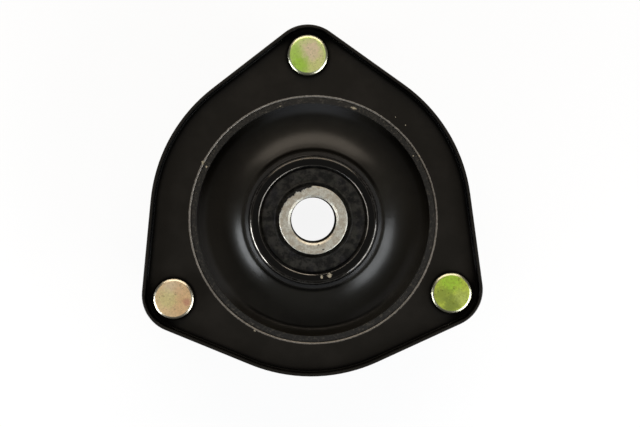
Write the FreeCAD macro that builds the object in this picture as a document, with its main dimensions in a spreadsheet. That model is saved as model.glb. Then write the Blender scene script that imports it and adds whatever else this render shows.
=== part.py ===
import FreeCAD, Part
import math
import os
from types import SimpleNamespace

import Sketcher

# Strut mount: two pressed plates, a pressed dish with a drawn neck, a bonded
# rubber bush in the neck and three pressed-in studs.
# Frame: origin on the axis of the bush where it crosses the front face of the
# mounting plate. +Z points down the strut, away from the car body, and the
# studs point along -Z. One stud stands towards +Y.
# Lengths are in millimetres, angles in degrees. Radii build up outwards from
# the bore, so a wider bush moves the dish, the opening, the studs and the edge.

SIZES = {
    # Bush
    "bore_diameter": 17.0,  # bore of the inner sleeve
    "bore_chamfer": 0.8,  # chamfer at both ends of the bore
    "sleeve_wall": 4.05,  # wall of the inner sleeve
    "sleeve_chamfer": 0.3,  # chamfer on the outside of both sleeve ends
    "sleeve_proud": 0.5,  # front end of the sleeve beyond the shell's shoulder
    "sleeve_tail": 4.0,  # back end of the sleeve beyond the top of the dome
    "rubber_wall": 9.95,  # rubber between sleeve and shell
    "rubber_sink": 0.8,  # front face of the rubber below the shell's shoulder
    "rubber_back": 0.8,  # back end of the rubber beyond the top of the dome
    "rubber_edge": 1.0,  # rounding of the rubber's back end
    "groove_depth": 0.8,  # depth of the moulded grooves in the rubber
    "sleeve_groove": 1.3,  # width of the groove round the sleeve
    "lip_groove": 0.9,  # width of the groove inside the shell's lip
    "ring_width": 0.5,  # width of the moulded ring beside the sleeve's groove
    "ring_height": 0.25,  # height of the moulded ring
    "disc_cover": 3.0,  # rubber between the disc's rim and the shell
    "disc_thickness": 3.0,  # thickness of the disc inside the rubber
    "disc_back": 6.5,  # back face of the disc behind the plate's front face
    "disc_edge": 1.0,  # rounding of the disc's rim
    "shell_sheet": 1.2,  # wall of the bush shell
    "shell_lip": 2.5,  # how far the shell's lip is turned in over the rubber
    "shell_shoulder": 1.5,  # rounding of the shell's shoulder
    "shell_edge": 0.3,  # rounding of the turned-in lip's edge
    "shell_proud": 1.5,  # shoulder of the shell beyond the neck's end
    # Dish
    "dish_sheet": 2.3,  # sheet of the dish
    "dish_depth": 6.0,  # floor of the dish below the plate's front face
    "dish_corner": 4.0,  # inside radius between the dish's rim and floor
    "rim_drop": 0.3,  # end of the dish's rim below the plate's front face
    "rim_edge": 0.3,  # rounding of the trimmed edges of the dish
    "floor_width": 11.55,  # floor of the dish from the flare's foot to the rim
    "flare_run": 5.75,  # radius that the flare takes up
    "flare_angle": 38.0,  # slope of the flare
    "flare_bend": 17.0,  # bend radius between the floor and the flare
    "neck_bend": 2.6,  # bend radius between the flare and the neck
    "neck_draft": 1.0,  # growth of the neck's outside radius down to its foot
    "neck_wall": 1.55,  # wall left at the end of the drawn neck
    "neck_height": 8.0,  # end of the neck over the plate's front face
    # Mounting plate
    "plate_shift_x": -0.8,  # centre of the stud circle from the bush axis, along X
    "plate_shift_y": 1.6,  # centre of the stud circle from the bush axis, along Y
    "plate_sheet": 2.0,  # sheet of the mounting plate
    "side_land": 14.05,  # plate from the opening to the bowed sides
    "corner_setback": 2.8,  # centres of the corner roundings inside the stud circle
    "head_land": 1.32,  # flat between a stud's head and the lip's bend
    "lip_height": 3.0,  # height of the turned-up lip over the front face
    "lip_sheet": 1.35,  # wall of the lip, drawn thinner than the sheet
    "lip_root": 0.5,  # inside bend radius at the foot of the lip
    "lip_crown": 0.4,  # rounding of the lip's trimmed edge
    "opening_edge": 0.5,  # rounding of the edge round the large opening
    # Dome plate
    "dome_sheet": 2.0,  # sheet of the dome plate
    "dome_height": 17.0,  # top of the dome over the seat face
    "flange_inset": 0.5,  # edge of the dome plate inside the mounting plate's bend
    "mouth_bend": 2.0,  # inside bend radius where the dome leaves its flange
    "mouth_land": 1.0,  # flat ring between the flange's ring hole and the mouth bend
    "step_bend": 2.0,  # inside bend radius round the step of the dome
    "dome_foot_inset": 1.3,  # foot of the dome's upper part inside the flare's foot
    "dome_foot_bend": 2.0,  # inside bend radius at the foot of the dome's upper part
    "dome_draft": 1.8,  # narrowing of the dome's upper part towards its top
    "dome_top_bend": 4.0,  # inside bend radius at the top of the dome
    "dome_seat": 3.5,  # top of the dome under the rubber, inside the shell
    # Studs
    "stud_land": 14.0,  # plate from the opening to the studs' centres
    "thread_diameter": 8.0,  # diameter of a stud's threaded end
    "stud_reach": 22.0,  # stud's end beyond the seat face
    "stud_tip": 1.0,  # chamfer at a stud's end
    "head_diameter": 15.0,  # diameter of a stud's head
    "head_thickness": 2.8,  # thickness of a stud's head
    "head_edge": 1.5,  # rounding of a stud's head
    "knurl_rise": 0.6,  # knurl that grips the plates over the thread's outside
    "knurl_depth": 0.3,  # depth of a groove of the knurl
    # Clearances
    "press_gap": 0.05,  # between pieces pressed together
    "rim_gap": 0.1,  # between the dish's rim and the plate's opening
    "nest_gap": 0.2,  # between the dish's rim and the dome's wall
    "rubber_gap": 0.4,  # between the rubber and the hole in the dome
}
CORNERS = 3
KNURL_GROOVES = 20
UP = FreeCAD.Vector(0, 0, 1)

doc = FreeCAD.newDocument("strut_mount")
sheet = doc.addObject("Spreadsheet::Sheet", "Sizes")
for row, (alias, number) in enumerate(SIZES.items(), start=1):
    sheet.set(f"A{row}", alias)
    sheet.set(f"B{row}", str(number))
    sheet.setAlias(f"B{row}", alias)


class Size:
    """A length or an angle: the formula over the sheet that gives it, and what that comes to."""

    def __init__(self, formula, value):
        self.formula = formula
        self.value = value

    def joined(self, sign, other, value):
        return Size(f"({self.formula} {sign} {as_size(other).formula})", value)

    def __add__(self, other):
        return self.joined("+", other, self.value + as_size(other).value)

    def __sub__(self, other):
        return self.joined("-", other, self.value - as_size(other).value)

    def __mul__(self, other):
        return self.joined("*", other, self.value * as_size(other).value)

    def __truediv__(self, other):
        return self.joined("/", other, self.value / as_size(other).value)

    def __neg__(self):
        return Size(f"(0 - {self.formula})", -self.value)


def as_size(value):
    """A plain number as a size; a size stays as it is."""
    return value if isinstance(value, Size) else Size(repr(float(value)), float(value))


def smaller(one, other):
    """The smaller of two sizes."""
    return Size(f"min({one.formula}; {other.formula})", min(one.value, other.value))


def tangent(angle):
    """The tangent of an angle."""
    return Size(f"tan({angle.formula} * 1 deg)", math.tan(math.radians(angle.value)))


size = SimpleNamespace(**{a: Size(f"Sizes.{a}", v) for a, v in SIZES.items()})

# Radii from the bore outwards
bore_radius = size.bore_diameter / 2
sleeve_radius = bore_radius + size.sleeve_wall
shell_inside = sleeve_radius + size.rubber_wall
shell_mouth = shell_inside - size.shell_lip
shell_radius = shell_inside + size.shell_sheet
disc_radius = shell_inside - size.disc_cover
neck_bore = shell_radius + size.press_gap
neck_end = neck_bore + size.neck_wall
neck_foot = neck_end + size.neck_draft
flare_foot = neck_foot + size.flare_run
rim_inside = flare_foot + size.floor_width
dish_radius = rim_inside + size.dish_sheet
opening_radius = dish_radius + size.rim_gap
dome_wall = dish_radius + size.nest_gap
dome_foot = flare_foot - size.dome_foot_inset
dome_top = dome_foot - size.dome_draft
dome_hole = shell_inside - size.dome_seat
side_radius = opening_radius + size.side_land
stud_circle = opening_radius + size.stud_land
corner_circle = stud_circle - size.corner_setback

# Radii about a stud, and the corner that keeps its lip clear of the head
head_radius = size.head_diameter / 2
thread_radius = size.thread_diameter / 2
knurl_radius = thread_radius + size.knurl_rise
stud_hole = knurl_radius + size.press_gap
outer_bend = size.plate_sheet + size.lip_root
corner_radius = head_radius + size.head_land + outer_bend + size.corner_setback

# Heights from the plate's front face
seat_z = -(size.plate_sheet + size.dome_sheet)
dish_floor_z = -size.dish_depth
dish_back_z = dish_floor_z - size.dish_sheet
dome_top_z = seat_z - size.dome_height
dome_inside_z = dome_top_z + size.dome_sheet
shell_front_z = size.neck_height + size.shell_proud
lip_back_z = shell_front_z - size.shell_sheet
rubber_front_z = shell_front_z - size.rubber_sink
rubber_back_z = dome_top_z - size.rubber_back
sleeve_front_z = shell_front_z + size.sleeve_proud
sleeve_back_z = dome_top_z - size.sleeve_tail
disc_back_z = -size.disc_back
disc_front_z = disc_back_z + size.disc_thickness


def new_body(label):
    """An empty body with its own label."""
    body = doc.addObject("PartDesign::Body", label)
    body.Label = label
    return body


def new_sketch(body, name, plane, level=None):
    """A sketch on one of the body's origin planes, raised to a level where one is given."""
    sketch = body.newObject("Sketcher::SketchObject", name)
    origin = next(f for f in body.Origin.OriginFeatures if f.Role == plane)
    sketch.AttachmentSupport = [(origin, "")]
    sketch.MapMode = "FlatFace"
    if level is not None:
        base = FreeCAD.Vector(0, 0, level.value)
        sketch.AttachmentOffset = FreeCAD.Placement(base, FreeCAD.Rotation())
        sketch.setExpression("AttachmentOffset.Base.z", level.formula)
    return sketch


def bind(sketch, name, constraint, amount):
    """Adds a dimension to a sketch and ties it to its formula."""
    index = sketch.addConstraint(constraint)
    sketch.renameConstraint(index, name)
    sketch.setExpression(f"Constraints.{name}", amount.formula)


def bind_radius(sketch, name, curve, radius):
    """Ties the radius of a circle or an arc."""
    bind(sketch, f"{name}_radius", Sketcher.Constraint("Radius", curve, radius.value), radius)


def place_point(sketch, name, curve, end, x, y):
    """Ties a point of a sketch to a place measured from the sketch's origin."""
    x = as_size(x)
    y = as_size(y)
    across = Sketcher.Constraint("DistanceX", -1, 1, curve, end, x.value)
    up = Sketcher.Constraint("DistanceY", -1, 1, curve, end, y.value)
    bind(sketch, f"{name}_x", across, x)
    bind(sketch, f"{name}_y", up, y)


def add_circle(sketch, name, radius, centre=None):
    """A circle of a given radius about a centre (x, y), or about the sketch's origin."""
    middle = FreeCAD.Vector(0, 0, 0)
    if centre is not None:
        middle = FreeCAD.Vector(centre[0].value, centre[1].value, 0)
    circle = sketch.addGeometry(Part.Circle(middle, UP, radius.value))
    if centre is None:
        sketch.addConstraint(Sketcher.Constraint("Coincident", circle, 3, -1, 1))
    else:
        place_point(sketch, f"{name}_centre", circle, 3, centre[0], centre[1])
    bind_radius(sketch, name, circle, radius)


def add_profile(sketch, corners):
    """A closed outline of straight edges; each corner is (x, y) or (x, y, rounding radius)."""
    count = len(corners)
    points = [FreeCAD.Vector(as_size(c[0]).value, as_size(c[1]).value, 0) for c in corners]
    along = [(points[(k + 1) % count] - points[k]).normalize() for k in range(count)]
    starts = list(points)
    ends = [points[(k + 1) % count] for k in range(count)]
    bends = {}
    for k, corner in enumerate(corners):
        if len(corner) < 3:
            continue
        radius = as_size(corner[2]).value
        before = along[k - 1]
        after = along[k]
        turn = math.atan2(before.cross(after).z, before.dot(after))
        reach = radius * math.tan(abs(turn) / 2)
        ends[k - 1] = points[k] - before * reach
        starts[k] = points[k] + after * reach
        left = turn > 0
        sideways = FreeCAD.Vector(-before.y, before.x, 0)
        centre = ends[k - 1] + sideways * (radius if left else -radius)
        first, last = (ends[k - 1], starts[k]) if left else (starts[k], ends[k - 1])
        low = math.atan2(first.y - centre.y, first.x - centre.x)
        high = math.atan2(last.y - centre.y, last.x - centre.x)
        bends[k] = (Part.ArcOfCircle(Part.Circle(centre, UP, radius), low, high), left)
    lines = [sketch.addGeometry(Part.LineSegment(starts[k], ends[k])) for k in range(count)]
    for k, corner in enumerate(corners):
        name = f"corner_{k}"
        if k not in bends:
            sketch.addConstraint(Sketcher.Constraint("Coincident", lines[k - 1], 2, lines[k], 1))
            place_point(sketch, name, lines[k], 1, corner[0], corner[1])
            continue
        arc = sketch.addGeometry(bends[k][0])
        enter, leave = (1, 2) if bends[k][1] else (2, 1)
        mark = sketch.addGeometry(Part.Point(points[k]), True)
        sketch.addConstraint(Sketcher.Constraint("Tangent", lines[k - 1], 2, arc, enter))
        sketch.addConstraint(Sketcher.Constraint("Tangent", arc, leave, lines[k], 1))
        sketch.addConstraint(Sketcher.Constraint("PointOnObject", mark, 1, lines[k - 1]))
        sketch.addConstraint(Sketcher.Constraint("PointOnObject", mark, 1, lines[k]))
        place_point(sketch, name, mark, 1, corner[0], corner[1])
        bind_radius(sketch, name, arc, as_size(corner[2]))


def corner_angle(k):
    """The direction of the plate's corner k from the middle of the stud circle, in radians."""
    return math.radians(90 + k * 360 / CORNERS)


def towards_corner(radius, k):
    """The point at a radius from the middle of the stud circle, towards corner k."""
    angle = corner_angle(k)
    x = size.plate_shift_x + radius * round(math.cos(angle), 12)
    y = size.plate_shift_y + radius * round(math.sin(angle), 12)
    return x, y


def add_outline(sketch, inset):
    """The plates' outline, drawn in by inset: bowed sides and round corners, joined by straight edges."""
    wide = side_radius - inset
    tight = corner_radius - inset
    middle = FreeCAD.Vector(size.plate_shift_x.value, size.plate_shift_y.value, 0)
    swing = math.acos((wide.value - tight.value) / corner_circle.value)
    edges = []
    for k in range(CORNERS):
        begin = corner_angle(k) - swing
        finish = corner_angle(k) + swing
        centre = towards_corner(corner_circle, k)
        corner = FreeCAD.Vector(centre[0].value, centre[1].value, 0)
        before = FreeCAD.Vector(math.cos(begin), math.sin(begin), 0)
        after = FreeCAD.Vector(math.cos(finish), math.sin(finish), 0)
        wide_circle = Part.Circle(middle, UP, wide.value)
        tight_circle = Part.Circle(corner, UP, tight.value)
        side = sketch.addGeometry(Part.ArcOfCircle(wide_circle, corner_angle(k - 1) + swing, begin))
        enter = sketch.addGeometry(
            Part.LineSegment(middle + before * wide.value, corner + before * tight.value)
        )
        bend = sketch.addGeometry(Part.ArcOfCircle(tight_circle, begin, finish))
        leave = sketch.addGeometry(
            Part.LineSegment(corner + after * tight.value, middle + after * wide.value)
        )
        place_point(sketch, f"side_{k}", side, 3, size.plate_shift_x, size.plate_shift_y)
        bind_radius(sketch, f"side_{k}", side, wide)
        place_point(sketch, f"bend_{k}", bend, 3, centre[0], centre[1])
        bind_radius(sketch, f"bend_{k}", bend, tight)
        edges += [side, enter, bend, leave]
    for k, edge in enumerate(edges):
        onward = edges[(k + 1) % len(edges)]
        sketch.addConstraint(Sketcher.Constraint("Tangent", edge, 2, onward, 1))


def add_stud_holes(sketch):
    """The holes that the knurls of the studs are pressed into."""
    for k in range(CORNERS):
        add_circle(sketch, f"stud_hole_{k}", stud_hole, towards_corner(stud_circle, k))


def set_size(feature, prop, amount):
    """Gives a feature a size and ties it to its formula."""
    setattr(feature, prop, amount.value)
    feature.setExpression(prop, amount.formula)


def pad(body, name, sketch, length, backwards=False):
    """Extrudes a sketch, along its normal or backwards."""
    feature = body.newObject("PartDesign::Pad", name)
    feature.Profile = sketch
    feature.Reversed = backwards
    set_size(feature, "Length", length)
    return feature


def pocket(body, name, sketch, length, forwards=False):
    """Cuts a sketch into the body, against its normal or forwards along it."""
    feature = body.newObject("PartDesign::Pocket", name)
    feature.Profile = sketch
    feature.Reversed = forwards
    set_size(feature, "Length", length)
    return feature


def revolve(body, name, sketch):
    """Turns a profile all the way round the Z axis."""
    feature = body.newObject("PartDesign::Revolution", name)
    feature.Profile = sketch
    feature.ReferenceAxis = (sketch, ["V_Axis"])
    feature.Angle = 360.0
    return feature


def turned_body(label, corners):
    """A body made by turning one profile of corners (radius, height) round the Z axis."""
    body = new_body(label)
    sketch = new_sketch(body, f"{label}_profile", "XZ_Plane")
    add_profile(sketch, corners)
    revolve(body, f"{label}_turned", sketch)
    return body


def dress(body, kind, name, feature, prop, amount, wanted):
    """Rounds or chamfers those edges of a feature for which wanted(edge) holds."""
    doc.recompute()
    found = enumerate(feature.Shape.Edges, start=1)
    edges = [f"Edge{k}" for k, edge in found if wanted(edge)]
    dressed = body.newObject(f"PartDesign::{kind}", name)
    dressed.Base = (feature, edges)
    set_size(dressed, prop, amount)
    return dressed


def at_level(edge, z):
    """Whether an edge lies flat at height z."""
    box = edge.BoundBox
    return abs(box.ZMin - z.value) < 1e-4 and abs(box.ZMax - z.value) < 1e-4


def has_radius(edge, radius):
    """Whether an edge is an arc or a circle of that radius."""
    curve = edge.Curve
    return curve.TypeId == "Part::GeomCircle" and abs(curve.Radius - radius.value) < 1e-4


def on_edge_of_plate(edge):
    """Whether an edge runs along the plate's outline, and not round one of its holes."""
    return not (has_radius(edge, opening_radius) or has_radius(edge, stud_hole))


def make_mounting_plate():
    """The front plate: flat, with a lip turned up all round, the dish's opening and the stud holes."""
    # The lip's roundings are held to what its height and its sheet can carry
    root = smaller(size.lip_root, size.lip_height * 0.5)
    crown = smaller(size.lip_crown, size.lip_sheet * 0.45)
    edge_round = smaller(size.opening_edge, size.plate_sheet * 0.4)
    front = as_size(0)
    back = -size.plate_sheet
    body = new_body("mounting_plate")
    blank = new_sketch(body, "blank_outline", "XY_Plane", back)
    add_outline(blank, front)
    pad(body, "blank", blank, size.plate_sheet + size.lip_height)
    inside = new_sketch(body, "lip_inside", "XY_Plane")
    add_outline(inside, size.lip_sheet)
    pocket(body, "lip_hollow", inside, size.lip_height, forwards=True)
    holes = new_sketch(body, "plate_holes", "XY_Plane")
    add_circle(holes, "opening", opening_radius)
    add_stud_holes(holes)
    plate = pocket(body, "plate_openings", holes, size.plate_sheet)
    plate = dress(
        body, "Fillet", "outer_bend", plate, "Radius", size.plate_sheet + root,
        lambda edge: at_level(edge, back) and on_edge_of_plate(edge),
    )
    plate = dress(
        body, "Fillet", "lip_bend", plate, "Radius", root,
        lambda edge: at_level(edge, front) and on_edge_of_plate(edge),
    )
    plate = dress(
        body, "Fillet", "lip_crown", plate, "Radius", crown,
        lambda edge: at_level(edge, size.lip_height),
    )
    dress(
        body, "Fillet", "opening_edge", plate, "Radius", edge_round,
        lambda edge: at_level(edge, front) and has_radius(edge, opening_radius),
    )
    return body


def make_dome_plate():
    """The back plate: a flange on the mounting plate's back, and a stepped dome drawn out of it."""
    outer_mouth_bend = size.mouth_bend + size.dome_sheet
    ring_hole = dome_wall + outer_mouth_bend + size.mouth_land
    top_outside = dome_top + size.dome_sheet
    foot_outside = dome_foot + size.dome_sheet
    wall_outside = dome_wall + size.dome_sheet
    step_back_z = dish_back_z - size.dome_sheet
    front_z = -size.plate_sheet
    body = new_body("dome_plate")
    flange = new_sketch(body, "flange_outline", "XY_Plane", front_z)
    add_outline(flange, outer_bend + size.flange_inset)
    add_circle(flange, "ring_hole", ring_hole)
    add_stud_holes(flange)
    pad(body, "flange", flange, size.dome_sheet, backwards=True)
    profile = new_sketch(body, "dome_profile", "XZ_Plane")
    add_profile(
        profile,
        [
            (ring_hole, front_z),
            (dome_wall, front_z, outer_mouth_bend),
            (dome_wall, dish_back_z, size.step_bend),
            (dome_foot, dish_back_z, size.dome_foot_bend + size.dome_sheet),
            (dome_top, dome_inside_z, size.dome_top_bend),
            (dome_hole, dome_inside_z),
            (dome_hole, dome_top_z),
            (top_outside, dome_top_z, size.dome_top_bend + size.dome_sheet),
            (foot_outside, step_back_z, size.dome_foot_bend),
            (wall_outside, step_back_z, size.step_bend + size.dome_sheet),
            (wall_outside, seat_z, size.mouth_bend),
            (ring_hole, seat_z),
        ],
    )
    revolve(body, "dome", profile)
    return body


def make_bearing_dish():
    """The dish: a rim in the plate's opening, a flat floor, and a flare that rises into a drawn neck."""
    slope = tangent(size.flare_angle)
    back_foot = flare_foot - size.dish_sheet * tangent(size.flare_angle / 2)
    neck_foot_z = dish_floor_z + size.flare_run * slope
    neck_back_z = dish_back_z + (back_foot - neck_bore) * slope
    return turned_body(
        "bearing_dish",
        [
            (dish_radius, -size.rim_drop, size.rim_edge),
            (rim_inside, -size.rim_drop, size.rim_edge),
            (rim_inside, dish_floor_z, size.dish_corner),
            (flare_foot, dish_floor_z, size.flare_bend),
            (neck_foot, neck_foot_z, size.neck_bend),
            (neck_end, size.neck_height, size.rim_edge),
            (neck_bore, size.neck_height, size.rim_edge),
            (neck_bore, neck_back_z, size.neck_bend + size.dish_sheet),
            (back_foot, dish_back_z, size.flare_bend + size.dish_sheet),
            (dish_radius, dish_back_z, size.dish_corner + size.dish_sheet),
        ],
    )


def make_bush_shell():
    """The bush's outer shell, with a rounded shoulder and a lip turned in over the rubber."""
    return turned_body(
        "bush_shell",
        [
            (shell_radius, dome_inside_z),
            (shell_radius, shell_front_z, size.shell_shoulder),
            (shell_mouth, shell_front_z, size.shell_edge),
            (shell_mouth, lip_back_z),
            (shell_inside, lip_back_z),
            (shell_inside, dome_inside_z),
        ],
    )


def make_inner_plate():
    """The disc on the sleeve that the rubber is moulded round."""
    return turned_body(
        "inner_plate",
        [
            (sleeve_radius, disc_front_z),
            (sleeve_radius, disc_back_z),
            (disc_radius, disc_back_z, size.disc_edge),
            (disc_radius, disc_front_z, size.disc_edge),
        ],
    )


def make_rubber_bush():
    """The rubber between sleeve and shell, moulded round the disc and out through the dome's hole."""
    ring_inner = sleeve_radius + size.sleeve_groove
    ring_outer = ring_inner + size.ring_width
    ring_z = rubber_front_z + size.ring_height
    groove_z = rubber_front_z - size.groove_depth
    back_groove_z = rubber_back_z + size.groove_depth
    back_radius = dome_hole - size.rubber_gap
    return turned_body(
        "rubber_bush",
        [
            (shell_inside, dome_inside_z),
            (shell_inside, lip_back_z),
            (shell_mouth, lip_back_z),
            (shell_mouth, groove_z),
            (shell_mouth - size.lip_groove, groove_z),
            (shell_mouth - size.lip_groove, rubber_front_z),
            (ring_outer, rubber_front_z),
            (ring_outer, ring_z),
            (ring_inner, ring_z),
            (ring_inner, groove_z),
            (sleeve_radius, groove_z),
            (sleeve_radius, disc_front_z),
            (disc_radius, disc_front_z, size.disc_edge),
            (disc_radius, disc_back_z, size.disc_edge),
            (sleeve_radius, disc_back_z),
            (sleeve_radius, back_groove_z),
            (ring_inner, back_groove_z),
            (ring_inner, rubber_back_z),
            (back_radius, rubber_back_z, size.rubber_edge),
            (back_radius, dome_inside_z),
        ],
    )


def make_inner_sleeve():
    """The steel sleeve that the damper's rod is clamped through."""
    bore_mouth = bore_radius + size.bore_chamfer
    face_edge = sleeve_radius - size.sleeve_chamfer
    return turned_body(
        "inner_sleeve",
        [
            (bore_mouth, sleeve_front_z),
            (bore_radius, sleeve_front_z - size.bore_chamfer),
            (bore_radius, sleeve_back_z + size.bore_chamfer),
            (bore_mouth, sleeve_back_z),
            (face_edge, sleeve_back_z),
            (sleeve_radius, sleeve_back_z + size.sleeve_chamfer),
            (sleeve_radius, sleeve_front_z - size.sleeve_chamfer),
            (face_edge, sleeve_front_z),
        ],
    )


def make_stud(k):
    """Stud k: a low round head on the front face, a knurl in both plates and the threaded end."""
    label = f"stud_{k + 1}"
    grip = size.plate_sheet + size.dome_sheet
    body = new_body(label)
    head_outline = new_sketch(body, f"{label}_head_outline", "XY_Plane")
    add_circle(head_outline, "head", head_radius)
    head = pad(body, f"{label}_head", head_outline, size.head_thickness)
    dress(
        body, "Fillet", f"{label}_head_edge", head, "Radius", size.head_edge,
        lambda edge: at_level(edge, size.head_thickness),
    )
    shank_outline = new_sketch(body, f"{label}_shank_outline", "XY_Plane")
    add_circle(shank_outline, "shank", thread_radius)
    shank = pad(body, f"{label}_shank", shank_outline, grip + size.stud_reach, backwards=True)
    dress(
        body, "Chamfer", f"{label}_tip", shank, "Size", size.stud_tip,
        lambda edge: at_level(edge, seat_z - size.stud_reach),
    )
    knurl_outline = new_sketch(body, f"{label}_knurl_outline", "XY_Plane")
    add_circle(knurl_outline, "knurl", knurl_radius)
    pad(body, f"{label}_knurl", knurl_outline, grip, backwards=True)
    groove_outline = new_sketch(body, f"{label}_groove_outline", "XY_Plane")
    add_profile(
        groove_outline,
        [
            (knurl_radius - size.knurl_depth, 0),
            (knurl_radius + size.knurl_depth, -size.knurl_depth * 2),
            (knurl_radius + size.knurl_depth, size.knurl_depth * 2),
        ],
    )
    groove = pocket(body, f"{label}_groove", groove_outline, grip)
    grooves = body.newObject("PartDesign::PolarPattern", f"{label}_grooves")
    grooves.Originals = [groove]
    grooves.Axis = (groove_outline, ["N_Axis"])
    grooves.Angle = 360.0
    grooves.Occurrences = KNURL_GROOVES
    body.Tip = grooves
    x, y = towards_corner(stud_circle, k)
    body.Placement = FreeCAD.Placement(FreeCAD.Vector(x.value, y.value, 0), FreeCAD.Rotation())
    body.setExpression("Placement.Base.x", x.formula)
    body.setExpression("Placement.Base.y", y.formula)
    return body


bodies = [
    make_mounting_plate(),
    make_dome_plate(),
    make_bearing_dish(),
    make_bush_shell(),
    make_inner_plate(),
    make_rubber_bush(),
    make_inner_sleeve(),
]
bodies += [make_stud(k) for k in range(CORNERS)]

doc.recompute()
for item in doc.Objects:
    if "Invalid" in item.State or "Error" in item.State:
        raise RuntimeError(f"{item.Name} did not build: {item.State}")
os.makedirs("parts", exist_ok=True)
for body in bodies:
    shape = body.Shape
    if shape.isNull() or not shape.isValid() or len(shape.Solids) != 1:
        raise RuntimeError(f"{body.Label} is not one sound solid")
    shape.exportStep(os.path.join("parts", f"{body.Label}.step"))
    print(f"{body.Label}: {shape.Volume:.1f} mm3")
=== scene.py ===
"""Strut mount, seen from below: black dip-coated pressings, a moulded rubber bush round a
turned steel sleeve, and yellow-zinc studs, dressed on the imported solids."""

import math

import bmesh
import bpy
import numpy as np
from bpy.props import FloatProperty, FloatVectorProperty, IntProperty, PointerProperty
from bpy.types import NodeSocket, Operator, Panel, PropertyGroup
from mathutils import Matrix, Vector


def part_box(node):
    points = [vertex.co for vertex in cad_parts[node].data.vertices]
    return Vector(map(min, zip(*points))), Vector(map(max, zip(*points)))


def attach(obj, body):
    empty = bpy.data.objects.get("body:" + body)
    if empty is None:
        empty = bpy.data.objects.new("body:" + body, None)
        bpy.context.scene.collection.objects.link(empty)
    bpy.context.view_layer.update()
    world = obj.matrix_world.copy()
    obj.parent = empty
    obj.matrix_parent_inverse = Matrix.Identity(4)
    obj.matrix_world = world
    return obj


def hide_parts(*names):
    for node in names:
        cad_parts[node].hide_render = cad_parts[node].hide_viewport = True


bl_info = {
    "name": "Strut Mount",
    "version": (1, 0, 0),
    "blender": (4, 5, 0),
    "location": "View3D > Sidebar > Strut Mount",
    "description": "Dresses a strut mount: coat, rubber, turned steel, zinc and a pale studio",
    "category": "Object",
}

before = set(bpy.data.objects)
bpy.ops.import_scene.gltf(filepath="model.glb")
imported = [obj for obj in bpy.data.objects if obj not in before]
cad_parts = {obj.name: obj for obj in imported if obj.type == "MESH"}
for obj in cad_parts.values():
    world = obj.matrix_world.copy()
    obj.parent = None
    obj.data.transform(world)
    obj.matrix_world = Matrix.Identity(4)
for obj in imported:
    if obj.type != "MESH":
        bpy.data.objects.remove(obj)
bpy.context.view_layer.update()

MM = 0.001
TURN = 2 * math.pi
STUDS = ("stud_1", "stud_2", "stud_3")
SAME = 1e-9  # lengths in metres that differ by less are the same
WELD = 1e-7  # points of a mesh nearer than this in metres become one


def length(name, description, millimetres):
    """A property that holds a length, given in millimetres."""
    return FloatProperty(
        name=name,
        description=description,
        default=millimetres * MM,
        min=0.0,
        precision=5,
        subtype="DISTANCE",
        unit="LENGTH",
    )


def spot(name, description, x, y):
    """A property that holds a place in x and y, given in millimetres."""
    return FloatVectorProperty(
        name=name, description=description, default=(x * MM, y * MM), size=2, precision=5
    )


def colour(name, description, red, green, blue):
    """A property that holds a colour in linear light."""
    return FloatVectorProperty(
        name=name,
        description=description,
        default=(red, green, blue),
        min=0.0,
        max=1.0,
        size=3,
        subtype="COLOR",
    )


def share(name, description, value):
    """A property that holds a number from 0 to 1."""
    return FloatProperty(
        name=name, description=description, default=value, min=0.0, max=1.0, subtype="FACTOR"
    )


class CoatSettings(PropertyGroup):
    """The black dip coat on the pressings, and the steel under it."""

    coat: colour("Coat", "The dip coat", 0.0098, 0.0087, 0.0071)
    worn: colour("Worn coat", "Coat where handling has dulled it", 0.0132, 0.0117, 0.0098)
    # Painted light: the dish's coat is a lighter copy of the dip coat, making up for the light its
    # hollow lacks.
    dish_coat: colour("Dish coat", "Coat on the dish", 0.0135, 0.0124, 0.0101)
    shell_coat: colour("Shell coat", "Coat on the bush shell", 0.0012, 0.0011, 0.0009)
    # Painted shade: the coat turns to this black, and loses its shine, in corners where shade
    # falls.
    black: colour("Black", "Coat in a corner that light hardly reaches", 0.0008, 0.0008, 0.0008)
    sheared: colour("Sheared steel", "Steel showing on a sheared edge", 0.42, 0.39, 0.35)
    chip: colour("Chips", "Pale chips in the coat", 0.55, 0.49, 0.36)
    dust: colour("Dust", "Brownish dust caught on the dish's rim", 0.058, 0.052, 0.042)
    grime: colour("Grime", "Dark grime on the dish's rim", 0.011, 0.0105, 0.0095)
    # Painted sheen: the dish's coat turns this paler grey in its corner and on the neck's end, as
    # a painted reflection of the lamps.
    bloom_and_sheen: colour("Bloom", "Greyish bloom in the dish's corner", 0.03, 0.03, 0.031)
    # How far from a corner the painted shade reaches.
    corner: length("Corner shade", "Reach of the black shade in corners", 3.5)
    peel: length("Orange peel", "Depth of the orange peel in the coat", 0.008)
    waves: length("Waves", "Depth of the slow waves in the coat", 0.04)
    pits: length("Pits", "Depth of the pits in the dish's rim", 0.1)
    roughness: share("Coat roughness", "Roughness of the dip coat", 0.3)
    shell_roughness: share("Shell roughness", "Roughness of the bush shell's coat", 0.14)
    gloss: share("Gloss", "Gloss of the dip coat", 0.25)
    shell_gloss: share("Shell gloss", "Gloss of the bush shell's coat", 0.5)
    opening: length("Opening radius", "Radius of the mounting plate's opening", 46.0)
    rim_sheet: length("Rim sheet", "Thickness of the dish's rim", 2.3)
    mouth: length("Shell mouth radius", "Radius inside the shell's lip", 20.0)
    shoulder: length("Shoulder", "From the mouth to the rounding of the shell's shoulder", 2.5)
    neck: length("Neck", "Radius where the neck's end starts to fall off outwards", 23.6)
    neck_end: length("Neck end", "Width of the fall at the neck's end", 1.6)
    neck_fall: share("Neck fall", "Slope of the neck's end", 0.92)


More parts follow.
